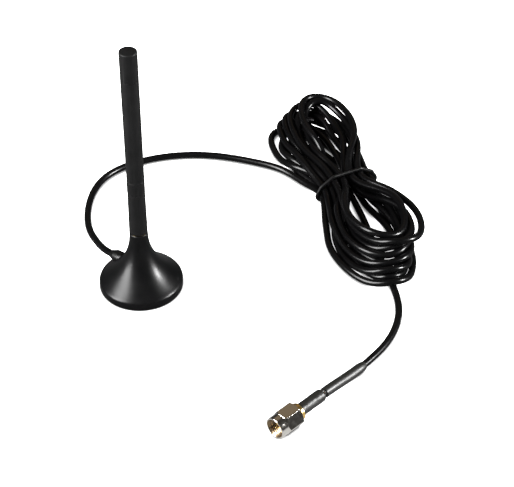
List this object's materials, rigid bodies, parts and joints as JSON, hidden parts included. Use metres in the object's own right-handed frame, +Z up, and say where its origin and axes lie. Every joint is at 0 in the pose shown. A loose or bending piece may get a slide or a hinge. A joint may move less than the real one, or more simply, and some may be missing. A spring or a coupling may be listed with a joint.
{
  "type": "magnetic-base whip antenna",
  "caption": "Small whip antenna on a flared magnetic base, with its thin coax lead wound in a tied hank and ending in a threaded SMA plug.",
  "frame": {"origin": "centre of the base's underside, on the surface it stands on", "axes": "+Z up along the mast; the tied hank lies towards +X, the plug towards -Y"},
  "size_m": [0.1268, 0.1801, 0.0995],
  "materials": {
    "base_plastic": "satin-gloss moulded black",
    "foot_rubber": "matt",
    "boot_rubber": "semi-matt",
    "zinc_steel": "zinc plated",
    "magnet_metal": "nickel-plated magnet",
    "white_nylon": "natural nylon",
    "tinned_metal": "tinned copper",
    "brass_metal": "machined brass",
    "mast_plastic": "matt black",
    "copper_metal": "bare copper",
    "cable_plastic": "glossy black PVC",
    "clear_dielectric": "milky polyethylene",
    "tie_rubber": "semi-gloss black",
    "nickel_plate": "bright nickel plating",
    "gold_plate": "thin gold plating on brass",
    "white_ptfe": "PTFE",
    "red_rubber": "silicone",
    "shrink_plastic": "semi-gloss heat-shrink"
  },
  "bodies": {
    "antenna_base": {"base_housing": "base_plastic", "base_pad": "foot_rubber", "magnet_cup": "zinc_steel", "base_magnet": "magnet_metal", "stud_insulator": "white_nylon", "ground_tag": "tinned_metal", "base_stud": "brass_metal", "strain_relief": "boot_rubber", "cable_jacket": "cable_plastic", "cable_braid": "tinned_metal", "cable_dielectric": "clear_dielectric", "cable_centre_conductor": "copper_metal", "cable_tie": "tie_rubber", "connector_body": "gold_plate", "retaining_ring": "gold_plate", "plug_insulator": "white_ptfe", "centre_pin": "gold_plate", "gasket": "red_rubber", "crimp_ferrule": "nickel_plate", "ferrule_sleeve": "shrink_plastic", "cable_sleeve": "shrink_plastic"},
    "mast_washer_body": {"mast_washer": "brass_metal"},
    "mast": {"mast_lower_tube": "mast_plastic", "mast_band": "mast_plastic", "joint_sleeve": "white_nylon", "mast_upper_tube": "mast_plastic", "mast_cap": "mast_plastic", "mast_insert": "brass_metal", "radiator_lower": "brass_metal", "radiator_upper": "brass_metal", "coil_former": "white_nylon", "loading_coil": "copper_metal", "rod_spacer": "white_nylon"},
    "nut": {"coupling_nut": "nickel_plate"}
  },
  "joints": [
    {"name": "mast_lift", "type": "slide", "parent": "antenna_base", "child": "mast_washer_body", "axis": [0, 0, 1], "range_m": [0, 0.0042]},
    {"name": "mast_turn", "type": "hinge", "parent": "mast_washer_body", "child": "mast", "pos_m": [0, 0, 0.0246], "axis": [0, 0, 1], "range_deg": [0, 2160]},
    {"name": "nut_spin", "type": "hinge", "parent": "antenna_base", "child": "nut", "pos_m": [0.05062, -0.07264, 0.00403], "axis": [-0.7133, -0.7009, 0], "continuous": true}
  ],
  "couplings": [
    {"joint": "mast_turn", "follows": "mast_lift", "rad_per_m": 8976}
  ]
}
